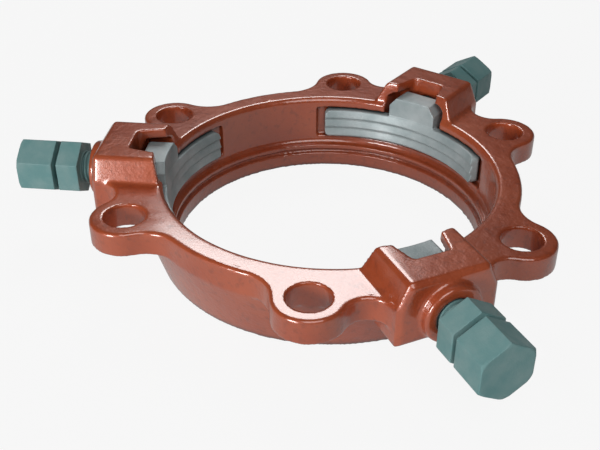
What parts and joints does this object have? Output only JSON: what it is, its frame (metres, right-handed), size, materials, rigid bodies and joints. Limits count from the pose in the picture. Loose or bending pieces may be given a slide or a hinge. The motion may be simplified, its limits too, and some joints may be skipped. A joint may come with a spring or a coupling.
{
  "type": "pipe joint restraint",
  "caption": "Cast ring gland with bolt lugs and wedge pockets; radial bolts push toothed wedges inwards to grip a pipe at a mechanical joint.",
  "frame": {"origin": "on the pipe axis, in the plane of the ring's flat foot that presses the gasket", "axes": "+Z along the pipe axis from the gasket face towards the pocket side; -Y through the first wedge bolt"},
  "size_m": [0.328, 0.3046, 0.0605],
  "materials": {
    "gland_paint": "glossy red-brown enamel on cast iron",
    "wedge_iron": "grey-green coated cast iron, satin",
    "bolt_steel": "grey-teal coated, satin"
  },
  "bodies": {
    "gland": {"gland_body": "gland_paint"},
    "wedge_1": {"wedge_1": "wedge_iron"},
    "bolt_1": {"wedge_bolt_1": "bolt_steel"},
    "wedge_2": {"wedge_2": "wedge_iron"},
    "bolt_2": {"wedge_bolt_2": "bolt_steel"},
    "wedge_3": {"wedge_3": "wedge_iron"},
    "bolt_3": {"wedge_bolt_3": "bolt_steel"}
  },
  "joints": [
    {"name": "wedge_slide_1", "type": "slide", "parent": "gland", "child": "wedge_1", "axis": [0, 1, 0], "range_m": [0, 0.006]},
    {"name": "bolt_turn_1", "type": "hinge", "parent": "wedge_1", "child": "bolt_1", "pos_m": [0, -0.13, 0.04], "axis": [0, 1, 0], "range_deg": [-1.2, 851.59]},
    {"name": "wedge_slide_2", "type": "slide", "parent": "gland", "child": "wedge_2", "axis": [-0.866, -0.5, 0], "range_m": [0, 0.006]},
    {"name": "bolt_turn_2", "type": "hinge", "parent": "wedge_2", "child": "bolt_2", "pos_m": [0.11258, 0.065, 0.04], "axis": [-0.866, -0.5, 0], "range_deg": [-1.2, 851.59]},
    {"name": "wedge_slide_3", "type": "slide", "parent": "gland", "child": "wedge_3", "axis": [0.866, -0.5, 0], "range_m": [0, 0.006]},
    {"name": "bolt_turn_3", "type": "hinge", "parent": "wedge_3", "child": "bolt_3", "pos_m": [-0.11258, 0.065, 0.04], "axis": [0.866, -0.5, 0], "range_deg": [-1.2, 851.59]}
  ],
  "couplings": [
    {"joint": "bolt_turn_1", "follows": "wedge_slide_1", "rad_per_m": 2473.7},
    {"joint": "bolt_turn_2", "follows": "wedge_slide_2", "rad_per_m": 2473.7},
    {"joint": "bolt_turn_3", "follows": "wedge_slide_3", "rad_per_m": 2473.7}
  ]
}
